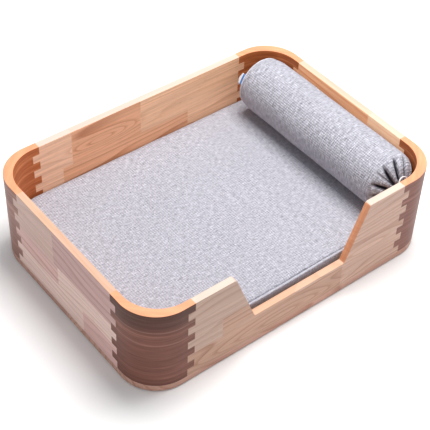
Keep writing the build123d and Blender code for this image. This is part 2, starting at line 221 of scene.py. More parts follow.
BOLSTER_LOW, BOLSTER_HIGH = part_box("bolster_cover")
AXIS_X = (BOLSTER_LOW.x + BOLSTER_HIGH.x) / 2
AXIS_Z = (BOLSTER_LOW.z + BOLSTER_HIGH.z) / 2
CORD_DIAMETER = 2.8 * MM
CORD_START_Y = -223.22

DRAWCORD_ROUTE = [  # millimetres, from the bolster's axis in X and Z
    (-4.0, CORD_START_Y, 0.0),
    (-4.0, -229.6, 0.0),
    (-9.0, -231.5, 9.0),
    (-12.0, -228.8, 19.0),
    (-10.0, -224.5, 28.5),
    (-3.5, -222.0, 34.5),
    (5.5, -222.2, 34.5),
    (12.5, -225.2, 27.5),
    (13.0, -229.6, 17.6),
    (9.5, -232.0, 8.4),
    (5.0, -229.6, 0.0),
    (5.0, CORD_START_Y, 0.0),
]


def make_drawcord(material):
    """The loop of white cord that stands out of the bolster's gathered mouth."""
    points = [(AXIS_X + x * MM, y * MM, AXIS_Z + z * MM) for x, y, z in DRAWCORD_ROUTE]
    line = bpy.data.curves.new("drawcord_loop", "CURVE")
    line.dimensions = "3D"
    line.resolution_u = 16
    line.bevel_depth = CORD_DIAMETER / 2
    line.bevel_resolution = 5
    line.use_fill_caps = True
    spline = line.splines.new("NURBS")
    spline.points.add(len(points) - 1)
    for point, place in zip(spline.points, points):
        point.co = (*place, 1.0)
    spline.order_u = 3
    spline.use_endpoint_u = True
    cord = add_object("drawcord_loop", line)
    finish_piece(cord, "bolster", material, ["bolster_drawcord"])


# -------------------------------------------------------------------- wood

RING_TINTS = [
    (0.0, (1.0, 1.0, 1.0, 1.0)),
    (0.55, (0.97, 0.94, 0.91, 1.0)),
    (0.90, (0.66, 0.50, 0.40, 1.0)),
    (1.0, (1.0, 1.0, 1.0, 1.0)),
]
PORE_TINTS = [
    (0.0, (1.0, 1.0, 1.0, 1.0)),
    (0.60, (1.0, 1.0, 1.0, 1.0)),
    (0.72, (0.82, 0.75, 0.70, 1.0)),
]

SEED_SHIFT = 41.0  # how far apart, in features, one stave's noise lies from another's
FIGURE_ALONG = 2.0  # swells of the figure in a metre along a stave
FIGURE_ACROSS = 10.0  # and across it
RING_RATE = 62.0  # growth rings in a metre across a stave
RING_WANDER = 9.0  # rings that the figure's noise can carry them by
FIBRE_RATE = 240.0  # fibres in a metre across a stave
PORE_RATE = 800.0
FIBRE_CONTRAST = 0.42
GRAIN_RELIEF = 0.18 * MM

PAINTED_INNER_BOUNCE_TINT = (1.58, 1.46, 1.16, 1.0)  # painted bounce light on the wood inside the tray: inner faces made lighter and warmer
LEVEL_NORMAL = 0.75  # a face counts as level when its normal's Z is over this
CUT_END_NORMAL = 0.6  # and as a cut end when its normal along the stave is over this
RIM_TONE_AND_TOP_LIGHT_SHARE = 0.65  # how far a level face takes the colour of the rim or the sill, partly the wood's own tone and partly painted top light
END_GRAIN_SHARE = 0.75
SILL_Z = 77 * MM
SILL_TOP = rgb(216, 172, 140)
END_GRAIN = rgb(206, 132, 88)


def grain(shader, colour, along, across, depth, seed, eyes=()):
    """Colour a stave with growth rings, fibres and pores. Along, across and depth are in metres.

    An eye is where the rings close round a point: (along, across, half length, half height, strength).
    """
    shift = shader.math("MULTIPLY", seed, SEED_SHIFT)
    far = shader.math("MULTIPLY_ADD", along, FIGURE_ALONG, shift)
    wide = shader.math("MULTIPLY_ADD", across, FIGURE_ACROSS, shift)
    deep = shader.math("MULTIPLY", depth, FIGURE_ACROSS)
    hill = shader.noise(far, wide, deep, detail=1.5, roughness=0.4)
    for middle, height, half_length, half_height, strength in eyes:
        run = shader.math("MULTIPLY", shader.math("SUBTRACT", along, middle), 1 / half_length)
        rise = shader.math("MULTIPLY", shader.math("SUBTRACT", across, height), 1 / half_height)
        run_square = shader.math("MULTIPLY", run, run)
        square = shader.math("ADD", run_square, shader.math("MULTIPLY", rise, rise))
        swell = shader.math("EXPONENT", shader.math("MULTIPLY", square, -1.0))
        hill = shader.math("MULTIPLY_ADD", swell, strength, hill)
    wander = shader.math("MULTIPLY", hill, RING_WANDER)
    rings = shader.math("MULTIPLY_ADD", across, RING_RATE, wander)
    ring_tint, _ = shader.ramp(shader.math("FRACT", rings), RING_TINTS)
    share = shader.noise(far, shader.math("MULTIPLY_ADD", across, 26.0, 7.0), deep, detail=1.0)
    figure = shader.math("MULTIPLY", share, shader.math("MULTIPLY_ADD", seed, 1.1, 0.55))
    colour = shader.mix(figure, colour, ring_tint, "MULTIPLY")

    long = shader.math("MULTIPLY_ADD", along, 5.0, shift)
    thin = shader.math("MULTIPLY_ADD", across, FIBRE_RATE, shift)
    thin_deep = shader.math("MULTIPLY", depth, FIBRE_RATE)
    fibre = shader.noise(long, thin, thin_deep, detail=4.0, roughness=0.65)
    colour = shader.tint(colour, shader.around(fibre, FIBRE_CONTRAST))

    pore_far = shader.math("MULTIPLY", along, 60.0)
    pore_wide = shader.math("MULTIPLY", across, PORE_RATE)
    pore_deep = shader.math("MULTIPLY", depth, PORE_RATE)
    pores = shader.noise(pore_far, pore_wide, pore_deep, detail=1.5)
    pore_tint, _ = shader.ramp(pores, PORE_TINTS)
    colour = shader.mix(0.8, colour, pore_tint, "MULTIPLY")
    height = shader.math("MULTIPLY_ADD", fibre, 0.6, shader.math("MULTIPLY", pores, -0.4))
    shader.bump(height, GRAIN_RELIEF)
    return colour, shader.math("MULTIPLY_ADD", fibre, 0.2, 0.34)


def stave_rows(shader, along, height, half_length, rows):
    """Each stave's colour and its seed. Rows go upwards: (top, [(end, colour, seed), ...])."""
    place = shader.math("MULTIPLY_ADD", along, 0.5 / half_length, 0.5)
    colour = None
    floor = 0.0
    for top, staves in rows:
        start = 0.0
        stops = []
        for end, stave, seed in staves:
            stops.append((start, (*stave[:3], seed)))
            start = 0.5 + 0.5 * end / half_length
        row_colour, row_seed = shader.ramp(place, stops, "CONSTANT")
        if colour is None:
            colour, seeds = row_colour, row_seed
        else:
            above = shader.math("GREATER_THAN", height, floor)
            colour = shader.mix(above, colour, row_colour)
            seeds = shader.blend_values(above, seeds, row_seed)
        floor = top
    return colour, seeds


def facing(shader):
    """The surface normal's X, Y and Z."""
    normal = shader.node("ShaderNodeNewGeometry", {}).outputs["Normal"]
    return shader.node("ShaderNodeSeparateXYZ", {0: normal}).outputs


def board_wood(name, rows, half_length, along_x, inner, rim, eyes=()):
    """Edge-glued staves, with butt joints, running along a board.

    Inner is the place, across the board, past which a face is inside the tray and gets painted bounce
    light: its sign says which way. Rim is the colour of the board's upper edge, partly painted top
    light.
    """
    shader = Shader(name)
    x, y, z = shader.axes()
    along, depth = (x, y) if along_x else (y, x)
    colour, seed = stave_rows(shader, along, z, half_length, rows)
    colour, roughness = grain(shader, colour, along, z, depth, seed, eyes)
    normal_x, normal_y, normal_z = facing(shader)
    upright = shader.math("LESS_THAN", normal_z, LEVEL_NORMAL)
    past = shader.math("GREATER_THAN" if inner < 0 else "LESS_THAN", depth, inner)
    past = shader.math("MULTIPLY", past, upright)
    # Painted bounce light: upright faces inside the tray are made lighter and warmer than the same
    # wood outside.
    colour = shader.mix(past, colour, shader.mix(1.0, colour, PAINTED_INNER_BOUNCE_TINT, "MULTIPLY"))
    along_normal = shader.math("ABSOLUTE", normal_x if along_x else normal_y)
    cut_end = shader.math("GREATER_THAN", along_normal, CUT_END_NORMAL)
    colour = shader.mix(cut_end, colour, shader.mix(END_GRAIN_SHARE, colour, END_GRAIN))
    # Painted top light, in part: level faces are mixed towards a paler rim colour; the lower sill gets
    # a darker one, with less of this painted light.
    top = shader.mix(shader.math("GREATER_THAN", z, SILL_Z + 20 * MM), SILL_TOP, rim)
    colour = shader.mix(upright, shader.mix(RIM_TONE_AND_TOP_LIGHT_SHARE, colour, top), colour)
    return shader.finish(
        colour, roughness, Specular_IOR_Level=0.35, Coat_Weight=0.12, Coat_Roughness=0.25
    )


CREAM = rgb(204, 172, 160)
TAN = rgb(202, 166, 148)
PINK = rgb(196, 158, 154)
BROWN = rgb(196, 152, 132)
FRONT_CREAM = rgb(187, 157, 140)
FRONT_BROWN = rgb(188, 148, 126)
# Lighter staves for the left board's lower rows: partly stave tone, partly painted light that lifts
# the shade near the floor.
LOW_CREAM_PAINTED_LIGHT = rgb(230, 202, 192)
LOW_PINK_PAINTED_LIGHT = rgb(218, 178, 172)
# Lighter staves for the right board's top row, seen inside beside the bolster: painted light that
# lifts the bolster's shadow.
RIGHT_CREAM_PAINTED_LIGHT = rgb(236, 202, 182)
RIGHT_TAN_PAINTED_LIGHT = rgb(230, 180, 150)
# Rim colours: the boards' upper edges paler than their sides, partly the wood's tone and partly
# painted top light.
RIM_PALE = rgb(214, 204, 192)
RIM_PEACH = rgb(212, 172, 138)
RIM_LIGHT = rgb(208, 188, 170)

ROW_TOPS = (0.071, 0.119, 0.21)
LAST = 0.5  # past the end of any board, so that a row's last stave runs out to it

# Each row from the bottom: its top, then each stave's end along the board, colour and seed.

FRONT_ROWS = [
    (ROW_TOPS[0], [(0.105, FRONT_BROWN, 0.93), (LAST, TAN, 0.61)]),
    (ROW_TOPS[1], [(-0.185, FRONT_CREAM, 0.27), (-0.014, FRONT_BROWN, 0.83), (LAST, TAN, 0.75)]),
    (ROW_TOPS[2], [(0.0, FRONT_CREAM, 0.32), (LAST, TAN, 0.44)]),
]
BACK_ROWS = [
    (ROW_TOPS[0], [(-0.09, TAN, 0.63), (LAST, BROWN, 0.88)]),
    (ROW_TOPS[1], [(-0.198, CREAM, 0.21), (0.11, BROWN, 0.92), (LAST, TAN, 0.67)]),
    (ROW_TOPS[2], [(-0.174, CREAM, 0.11), (-0.0085, BROWN, 0.98), (LAST, TAN, 0.24)]),
]
LEFT_ROWS = [
    (ROW_TOPS[0], [(-0.06, LOW_PINK_PAINTED_LIGHT, 0.57), (LAST, LOW_CREAM_PAINTED_LIGHT, 0.25)]),
    (ROW_TOPS[1], [(0.021, LOW_CREAM_PAINTED_LIGHT, 0.39), (LAST, LOW_PINK_PAINTED_LIGHT, 0.64)]),
    (ROW_TOPS[2], [(0.032, PINK, 0.51), (LAST, CREAM, 0.15)]),
]
RIGHT_ROWS = [
    (ROW_TOPS[0], [(0.04, TAN, 0.59), (LAST, CREAM, 0.32)]),
    (ROW_TOPS[1], [(-0.03, CREAM, 0.17), (LAST, TAN, 0.65)]),
    (ROW_TOPS[2], [(-0.061, RIGHT_CREAM_PAINTED_LIGHT, 0.37), (LAST, RIGHT_TAN_PAINTED_LIGHT, 0.76)]),
]
FRONT_EYES = [(-0.06, 0.030, 0.20, 0.024, 0.60), (0.17, 0.085, 0.12, 0.018, 0.35)]
BACK_EYES = [(-0.10, 0.150, 0.085, 0.015, 0.36)]

CORNER_OUTSIDE = [
    (0.30, rgb(126, 90, 81)),
    (0.45, rgb(144, 104, 93)),
    (0.56, rgb(155, 112, 102)),
    (0.68, rgb(177, 135, 121)),
]
# Warmer colours for the blocks' faces inside the tray: painted bounce light on the same wood.
CORNER_INSIDE_PAINTED_BOUNCE = [
    (0.30, rgb(160, 84, 44)),
    (0.45, rgb(182, 102, 57)),
    (0.56, rgb(194, 113, 66)),
    (0.68, rgb(214, 136, 88)),
]
# The blocks' level tops: paler than their sides, partly painted top light.
CORNER_TOP = rgb(226, 156, 118)
CORNER_SHADE = rgb(46, 20, 12)
CORNER_STREAK = rgb(160, 120, 110)
# Darkens the near left block's outside: painted shade.
NEAR_BLOCK_PAINTED_SHADE = (0.63, 0.50, 0.45, 1.0)
RIGHT_BLOCKS_TINT = (0.80, 0.68, 0.66, 1.0)
NEAR_LINES = (0.158, 0.1255)  # heights of two pale lines round the near left block
LINE_HALF = 1.8 * MM
SHADE_START_Z = 150 * MM  # the near left block darkens above this height
SHADE_RATE = 20.0
SHADE_LIMIT = 0.58
BLOCK_SPLIT_RADIUS = 79.5 * MM  # lies between a block's inner and outer arcs
DIAGONAL = 0.7071  # the cosine of 45 degrees
BLOCK_BAND_RATE = 120.0  # bands of colour in a metre up a block
BLOCK_FIBRE_RATE = 420.0  # and fibres


def corner_wood():
    """Solid blocks of darker wood, whose grain lies level and along the corner's tangent, with painted
    bounce light on their faces inside the tray, painted shade on the near left block and paler tops
    that are partly painted top light.
    """
    shader = Shader("corner_wood")
    x, y, z = shader.axes()
    side = shader.math("SIGN", shader.math("MULTIPLY", x, y))
    mirrored = shader.math("MULTIPLY", y, side)
    tangent = shader.math("MULTIPLY", shader.math("SUBTRACT", x, mirrored), DIAGONAL)
    radial = shader.math("MULTIPLY", shader.math("ADD", x, mirrored), DIAGONAL)
    far = shader.math("MULTIPLY", tangent, 4.0)
    deep = shader.math("MULTIPLY", radial, 5.0)
    band_up = shader.math("MULTIPLY", z, BLOCK_BAND_RATE)
    bands = shader.noise(far, deep, band_up, detail=4.0, roughness=0.68)
    outside, _ = shader.ramp(bands, CORNER_OUTSIDE)
    inside, _ = shader.ramp(bands, CORNER_INSIDE_PAINTED_BOUNCE)

    left = shader.math("LESS_THAN", x, 0.0)
    front_left = shader.math("MULTIPLY", left, shader.math("LESS_THAN", y, 0.0))
    sway = shader.noise(far, deep, shader.math("MULTIPLY", z, 3.0), detail=1.0)
    level = shader.math("MULTIPLY_ADD", sway, 0.012, shader.math("SUBTRACT", z, 0.006))
    streak = 0.0
    for height in NEAR_LINES:
        apart = shader.math("ABSOLUTE", shader.math("SUBTRACT", level, height))
        line = shader.math("MULTIPLY_ADD", apart, -1 / LINE_HALF, 1.0)
        streak = shader.math("MAXIMUM", streak, line)
    fade = shader.noise(shader.math("MULTIPLY", tangent, 22.0), 4.0, shader.math("MULTIPLY", z, 30.0))
    streak = shader.math("MULTIPLY", shader.math("MULTIPLY", streak, fade), front_left)
    right = shader.math("GREATER_THAN", x, 0.0)
    outside = shader.mix(right, outside, shader.mix(1.0, outside, RIGHT_BLOCKS_TINT, "MULTIPLY"))
    # Painted shade: the outside of the near left block, which faces the front, is darkened.
    outside = shader.mix(front_left, outside, shader.mix(1.0, outside, NEAR_BLOCK_PAINTED_SHADE, "MULTIPLY"))
    upper = shader.math("MULTIPLY", shader.math("SUBTRACT", level, SHADE_START_Z), SHADE_RATE)
    upper = shader.math("MINIMUM", shader.math("MAXIMUM", upper, 0.0), SHADE_LIMIT)
    upper = shader.math("MULTIPLY", upper, front_left)
    outside = shader.mix(upper, outside, CORNER_SHADE)
    outside = shader.mix(streak, outside, CORNER_STREAK)

    past_x = shader.math("SUBTRACT", shader.math("ABSOLUTE", x), TRAY_CORNER.x)
    past_y = shader.math("SUBTRACT", shader.math("ABSOLUTE", y), TRAY_CORNER.y)
    reach_x = shader.math("MAXIMUM", past_x, 0.0)
    reach_y = shader.math("MAXIMUM", past_y, 0.0)
    square_x = shader.math("MULTIPLY", reach_x, reach_x)
    square_y = shader.math("MULTIPLY", reach_y, reach_y)
    within = shader.math("LESS_THAN", shader.math("ADD", square_x, square_y), BLOCK_SPLIT_RADIUS**2)
    # Faces within the inner arc take the inside colours: painted bounce light.
    colour = shader.mix(within, outside, inside)

    thin_far = shader.math("MULTIPLY", tangent, 9.0)
    thin_deep = shader.math("MULTIPLY", radial, 60.0)
    thin_up = shader.math("MULTIPLY", z, BLOCK_FIBRE_RATE)
    fibre = shader.noise(thin_far, thin_deep, thin_up, detail=4.0, roughness=0.65)
    colour = shader.tint(colour, shader.around(fibre, FIBRE_CONTRAST))
    _, _, normal_z = facing(shader)
    top = shader.math("GREATER_THAN", normal_z, LEVEL_NORMAL)
    # Level tops take the paler top colour: partly painted top light.
    colour = shader.mix(top, colour, shader.tint(CORNER_TOP, shader.around(fibre, 0.45)))
    shader.bump(fibre, 0.0002)
    roughness = shader.math("MULTIPLY_ADD", fibre, 0.2, 0.36)
    return shader.finish(colour, roughness, Specular_IOR_Level=0.2)


BASE_STAVES = 14.0  # in a metre across the base
BASE_SEED_STEP = 0.137  # from one of its staves to the next


def base_wood():
    """The base board's staves, which run along the tray."""
    shader = Shader("base_wood")
    x, y, z = shader.axes()
    row = shader.math("FLOOR", shader.math("MULTIPLY", y, BASE_STAVES))
    seed = shader.math("FRACT", shader.math("MULTIPLY", row, BASE_SEED_STEP))
    colour, _ = shader.ramp(seed, [(0.0, rgb(186, 142, 126)), (1.0, rgb(204, 162, 144))])
    colour, roughness = grain(shader, colour, x, y, z, seed)
    return shader.finish(colour, roughness, Specular_IOR_Level=0.3)


LONG_HALF = 0.27  # half the length that the front and back boards' staves are set out on
SHORT_HALF = 0.18  # and the same for the left and right boards
LONG_MIDDLE_Y = 247.5 * MM  # the middle of the front and back boards' thickness
SHORT_MIDDLE_X = 342.5 * MM


def paint_wood():
    """Give the tray's CAD nodes their wood."""
    front = board_wood("front_wood", FRONT_ROWS, LONG_HALF, True, -LONG_MIDDLE_Y, RIM_PALE, FRONT_EYES)
    back = board_wood("back_wood", BACK_ROWS, LONG_HALF, True, LONG_MIDDLE_Y, RIM_PALE, BACK_EYES)
    left = board_wood("left_wood", LEFT_ROWS, SHORT_HALF, False, -SHORT_MIDDLE_X, RIM_PEACH)
    right = board_wood("right_wood", RIGHT_ROWS, SHORT_HALF, False, SHORT_MIDDLE_X, RIM_LIGHT)
    paint_node("front_board", front)
    paint_node("back_board", back)
    paint_node("left_board", left)
    paint_node("right_board", right)
    paint_node("base_board", base_wood())
    blocks = corner_wood()
    for end in ("front", "back"):
        for side in ("left", "right"):
            paint_node(f"corner_{end}_{side}", blocks)


# ------------------------------------------------------------------ fabric

LINEN = rgb(168, 168, 178)
# Painted shade deep in the bolster's pleats.
PLEAT_PAINTED_SHADE = rgb(78, 76, 92)
WEAVE_RELIEF = 0.8 * MM
WRAP_RADIUS = 58 * MM  # what the weave round the bolster is measured at
SEAM_Y = 199.5 * MM  # the seam round the bolster's far end

# Features in a metre along the weft and along the warp.
WEFT_SLUBS = (85.0, 440.0)
WARP_SLUBS = (430.0, 110.0)
HEATHER = (560.0, 560.0)
PATCHES = (9.0, 9.0)
WEAR = (40.0, 40.0)


def cloth_noise(shader, weft, warp, rates, layer, detail=2.0, roughness=0.5):
    """Noise over a cloth, at its rates along the weft and along the warp."""
    far = shader.math("MULTIPLY", weft, rates[0])
    wide = shader.math("MULTIPLY", warp, rates[1])
    return shader.noise(far, wide, layer, detail, roughness)


def woven(name, colour, plane, rib=0.0042, pick=0.0, grid=0.12, contrast=1.0, painted_pleat_shade=False):
    """Heathered weave. The plane gives metres along the weft and along the warp.

    Rib and pick are the spacings of its ribs across the weft and across the warp. The last argument
    says that the mesh's fold attribute, how deep in a pleat a place lies, darkens the colour there:
    painted shade in the pleats.
    """
    shader = Shader(name)
    weft, warp = plane(shader)
    turn = 2 * math.pi
    ribs = shader.math("SINE", shader.math("MULTIPLY", weft, turn / rib))
    picks = shader.math("SINE", shader.math("MULTIPLY", warp, turn / (pick or rib * 0.8)))
    weft_slub = cloth_noise(shader, weft, warp, WEFT_SLUBS, 3.0, roughness=0.6)
    warp_slub = cloth_noise(shader, weft, warp, WARP_SLUBS, 9.0, roughness=0.6)
    heather = cloth_noise(shader, weft, warp, HEATHER, 5.0, detail=1.0, roughness=0.6)
    patch = cloth_noise(shader, weft, warp, PATCHES, 1.0)
    wear = cloth_noise(shader, weft, warp, WEAR, 2.0)
    net = shader.math("MULTIPLY_ADD", ribs, 0.6, shader.math("MULTIPLY", picks, 0.6 if pick else 0.25))
    net_strength = shader.math("MULTIPLY", wear, 2 * grid)
    colour = shader.tint(colour, shader.math("MULTIPLY_ADD", net, net_strength, 1.0))
    for value, amount in ((weft_slub, 0.66), (warp_slub, 0.36), (heather, 0.42), (patch, 0.05)):
        colour = shader.tint(colour, shader.around(value, amount * contrast))
    # Painted shade: the colour is darkened by the fold attribute, most deep in the pleats.
    if painted_pleat_shade:
        depth = shader.node("ShaderNodeAttribute", {}, attribute_name="fold").outputs["Fac"]
        colour = shader.mix(depth, colour, shader.mix(1.0, colour, PLEAT_PAINTED_SHADE, "MULTIPLY"))
    threads = shader.math("ADD", weft_slub, shader.math("ADD", warp_slub, heather))
    shader.bump(shader.math("MULTIPLY_ADD", net, 0.35, threads), WEAVE_RELIEF)
    return shader.finish(colour, 0.88, Sheen_Weight=0.1, Sheen_Roughness=0.5, Specular_IOR_Level=0.15)


def flat_plane(shader):
    """Weft along X and warp along Y."""
    x, y, _ = shader.axes()
    return x, y


def side_plane(shader):
    """Round the mattress's side: weft round it, warp up it."""
    x, y, z = shader.axes()
    return shader.math("ADD", x, y), z


def bolster_plane(shader):
    """Weft round the bolster and warp along it, or weft along X and warp up on its flat far end."""
    x, y, z = shader.axes()
    down = shader.math("SUBTRACT", AXIS_Z, z)
    angle = shader.math("ARCTAN2", down, shader.math("SUBTRACT", AXIS_X, x))
    at_end = shader.math("GREATER_THAN", y, SEAM_Y)
    weft = shader.blend_values(at_end, shader.math("MULTIPLY", angle, WRAP_RADIUS), x)
    return weft, shader.blend_values(at_end, y, z)


# ---------------------------------------------------------------- mattress

MATTRESS_LOW, MATTRESS_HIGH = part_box("mattress_boxing")
MATTRESS_X = (MATTRESS_HIGH.x - MATTRESS_LOW.x) / 2
MATTRESS_Y = (MATTRESS_HIGH.y - MATTRESS_LOW.y) / 2
MATTRESS_CORNER = 67 * MM
BOTTOM_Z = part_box("mattress_bottom_panel")[0].z
SEAM_Z = MATTRESS_HIGH.z
LOW_SEAM_Z = BOTTOM_Z + 2.5 * MM
CROWN_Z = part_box("mattress_top_panel")[1].z
CROWN_RISE = 5.2 * MM
CROWN_EDGE = 18 * MM  # how far in from the edge the crown reaches its height
HOLLOWS = 1.4 * MM  # how deep the slow hollows in the top are
HOLLOWS_EDGE = 50 * MM  # how far in from the edge they are at their full depth
BACK_EDGE_Y = 165 * MM  # where the back edge's share starts to rise from 0
BACK_EDGE_BLEND = 60 * MM  # and how far it takes to reach 1
FRONT_EDGE_Y = 175 * MM
FRONT_EDGE_BLEND = 50 * MM
FRONT_RISE = 2.6 * MM
FRONT_EDGE_WIDTH = 22 * MM
ROLL_WIDTH = 12 * MM  # the strip along the back edge that is rolled
ROLL_BACK = 2.0 * MM
ROLL_UP = 2.6 * MM
MESH_STEP = 6 * MM
BACK_PUSH = 2.4 * MM  # how far the back edge leans to the back board
SIDE_SWELL = 2.2 * MM
PIPING_RADIUS = 2.4 * MM
PRESSURE = 4.0
SWELL_FRAMES = 20


def rounded_outline(half_x, half_y, radius, arc_steps, side_step):
    """Points round a rounded rectangle, anticlockwise, evenly spaced on its sides."""
    points = []
    corners = [(1, 1, 0), (-1, 1, 90), (-1, -1, 180), (1, -1, 270)]
    for sx, sy, start in corners:
        for i in range(arc_steps + 1):
            angle = math.radians(start + 90 * i / arc_steps)
            x = sx * (half_x - radius) + radius * math.cos(angle)
            y = sy * (half_y - radius) + radius * math.sin(angle)
            points.append(Vector((x, y, 0.0)))
    filled = []
    for here, there in zip(points, points[1:] + points[:1]):
        steps = max(1, round((there - here).length / side_step))
        filled += [here.lerp(there, i / steps) for i in range(steps)]
    return filled


def edge_distance(x, y):
    """How far inside the mattress's outline a point lies."""
    dx = abs(x) - (MATTRESS_X - MATTRESS_CORNER)
    dy = abs(y) - (MATTRESS_Y - MATTRESS_CORNER)
    if dx > 0 and dy > 0:
        return MATTRESS_CORNER - math.hypot(dx, dy)
    return MATTRESS_CORNER - max(dx, dy)


def make_mattress(top, side, bottom):
    """The covered foam slab: crowned on top, full at its sides and flat where it lies."""
    outline = rounded_outline(MATTRESS_X - MM, MATTRESS_Y - MM, MATTRESS_CORNER - MM, 16, 0.012)
    count = len(outline)
    points = [Vector((p.x, p.y, BOTTOM_Z)) for p in outline]
    points += [Vector((p.x, p.y, SEAM_Z)) for p in outline]
    faces = [[i, (i + 1) % count, count + (i + 1) % count, count + i] for i in range(count)]
    faces += [list(range(count))[::-1], list(range(count, 2 * count))]
    mattress = mesh_object("mattress", points, faces)
    remesh = mattress.modifiers.new("remesh", "REMESH")
    remesh.mode = "VOXEL"
    remesh.voxel_size = MESH_STEP
    bake_modifiers(mattress)
    inflate(mattress, PRESSURE, mattress_pin, mattress_cap)
    for vertex in mattress.data.vertices:
        vertex.co = settle(vertex.co)
    smooth = mattress.modifiers.new("smooth", "SUBSURF")
    smooth.levels = smooth.render_levels = 1
    bake_modifiers(mattress)
    open_zip_window(mattress)
    mattress.data.shade_smooth()
    finish_piece(
        mattress,
        "mattress",
        top,
        ["mattress_foam", "mattress_top_panel", "mattress_boxing", "mattress_bottom_panel"],
    )
    mattress.data.materials.append(side)
    mattress.data.materials.append(bottom)
    for face in mattress.data.polygons:
        at_side = edge_distance(face.center.x, face.center.y) < 6 * MM
        if face.center.z < BOTTOM_Z + 2 * MM:
            face.material_index = 2
        elif at_side and face.center.z < SEAM_Z - 0.5 * MM:
            face.material_index = 1


def smooth_step(value):
    """A smooth rise from 0 to 1."""
    share = min(1.0, max(0.0, value))
    return share * share * (3 - 2 * share)


def at_back(place):
    """How far a place belongs to the mattress's back edge, from 0 to 1."""
    return smooth_step((place.y - BACK_EDGE_Y) / BACK_EDGE_BLEND)


def at_front(place):
    """How far a place belongs to the mattress's front edge, from 0 to 1."""
    return smooth_step((-place.y - FRONT_EDGE_Y) / FRONT_EDGE_BLEND)


def front_rise(place):
    """The front edge stands a little higher towards the bolster."""
    return FRONT_RISE * at_front(place) * smooth_step((place.x + 60 * MM) / (160 * MM))


def settle(place):
    """Where a point of the mattress comes to lie, with its back edge rolled against the back board.

    The formula crown sets the height of the top, because the simulated top lies below it. The
    simulation shows in the sides.
    """
    place = place.copy()
    inset = edge_distance(place.x, place.y)
    back = at_back(place)
    place.y += BACK_PUSH * back * smooth_step((place.z - 50 * MM) / (25 * MM))
    if place.z > SEAM_Z - 2 * MM:
        swell = noise.noise(Vector((place.x * 7.0, place.y * 7.0, 3.0)))
        share = min(1.0, max(0.0, inset / CROWN_EDGE))
        crown = SEAM_Z + CROWN_RISE * math.sin(share * math.pi / 2)
        place.z = max(place.z, crown)
        place.z -= smooth_step(inset / HOLLOWS_EDGE) * HOLLOWS * (0.5 + 0.5 * swell)
        edge = 1 - smooth_step(inset / FRONT_EDGE_WIDTH)
        place.z += edge * front_rise(place)
        rolled = back * (1 - smooth_step(inset / ROLL_WIDTH))
        place.y += ROLL_BACK * rolled
        place.z += ROLL_UP * rolled
    return place


def open_zip_window(mattress):
    """Cut the shallow window in the mattress's back that the zip lies in."""
    window = bpy.data.meshes.new("zip_window")
    shape = bmesh.new()
    bmesh.ops.create_cube(shape, size=1.0)
    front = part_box("zip_tape_upper")[0].y - 0.1 * MM
    back = 0.25  # well behind the mattress, so that the cut is open there
    scale = Matrix.Diagonal((2 * ZIP_HALF, back - front, ZIP_WINDOW_HEIGHT, 1.0))
    placing = Matrix.Translation((0, (front + back) / 2, ZIP_Z)) @ scale
    bmesh.ops.transform(shape, matrix=placing, verts=shape.verts)
    shape.to_mesh(window)
    shape.free()
    cutter = add_object("zip_window", window)
    cut = mattress.modifiers.new("window", "BOOLEAN")
    cut.operation = "DIFFERENCE"
    cut.solver = "EXACT"
    cut.object = cutter
    bake_modifiers(mattress)
    bpy.data.objects.remove(cutter)


def mattress_pin(place):
    """How firmly the mattress holds still there: all of its bottom, and its top seam."""
    if place.z < LOW_SEAM_Z:
        return 1.0
    if place.z > SEAM_Z - 5 * MM and edge_distance(place.x, place.y) < 5 * MM:
        return 1.0
    return 0.0


def mattress_cap(place):
    """How far the mattress may swell there."""
    return CROWN_Z - SEAM_Z if place.z > SEAM_Z - 5 * MM else SIDE_SWELL


def inflate(piece, pressure, pin, cap):
    """Swell a closed piece as cloth, holding it where pin says, no further than cap says."""
    rest = [vertex.co.copy() for vertex in piece.data.vertices]
    group = piece.vertex_groups.new(name="pin")
    for i, place in enumerate(rest):
        group.add([i], pin(place), "REPLACE")
    cloth = piece.modifiers.new("cloth", "CLOTH")
    cloth.settings.quality = 5
    cloth.settings.mass = 0.25
    cloth.settings.tension_stiffness = 18
    cloth.settings.compression_stiffness = 18
    cloth.settings.bending_stiffness = 0.6
    cloth.settings.use_pressure = True
    cloth.settings.uniform_pressure_force = pressure
    cloth.settings.vertex_group_mass = "pin"
    cloth.settings.effector_weights.gravity = 0.0
    cloth.collision_settings.use_collision = False
    cloth.point_cache.frame_start = 1
    cloth.point_cache.frame_end = SWELL_FRAMES
    for step in range(1, SWELL_FRAMES + 1):
        SCENE.frame_set(step)
    bake_modifiers(piece)
    SCENE.frame_set(1)
    for vertex, place in zip(piece.data.vertices, rest):
        moved = vertex.co - place
        limit = cap(place)
        if moved.length > 1e-9:
            moved *= limit * math.tanh(moved.length / limit) / moved.length
        vertex.co = place + moved


def make_piping(name, height, node, material):
    """A fabric-covered cord sewn round the mattress's edge."""
    line = bpy.data.curves.new(name, "CURVE")
    line.dimensions = "3D"
    line.bevel_depth = PIPING_RADIUS
    line.bevel_resolution = 4
    spline = line.splines.new("POLY")
    outline = rounded_outline(MATTRESS_X, MATTRESS_Y, MATTRESS_CORNER, 24, 0.006)
    spline.points.add(len(outline) - 1)
    for point, place in zip(spline.points, outline):
        lift = 0.5 * MM * noise.noise(place * 22.0)
        push = 0.5 * MM * noise.noise(place * 17.0 + Vector((5, 0, 0)))
        outward = Vector((place.x, place.y, 0)).normalized() * push
        x = place.x + outward.x
        y = place.y + outward.y
        if height > LOW_SEAM_Z + 10 * MM:
            y += BACK_PUSH * at_back(place)
            lift += front_rise(place) - 3.0 * MM * at_back(place)
        point.co = (x, y, height + lift, 1.0)
    spline.use_cyclic_u = True
    piping = add_object(name, line)
    finish_piece(piping, "mattress", material, [node])


# ----------------------------------------------------------------- bolster

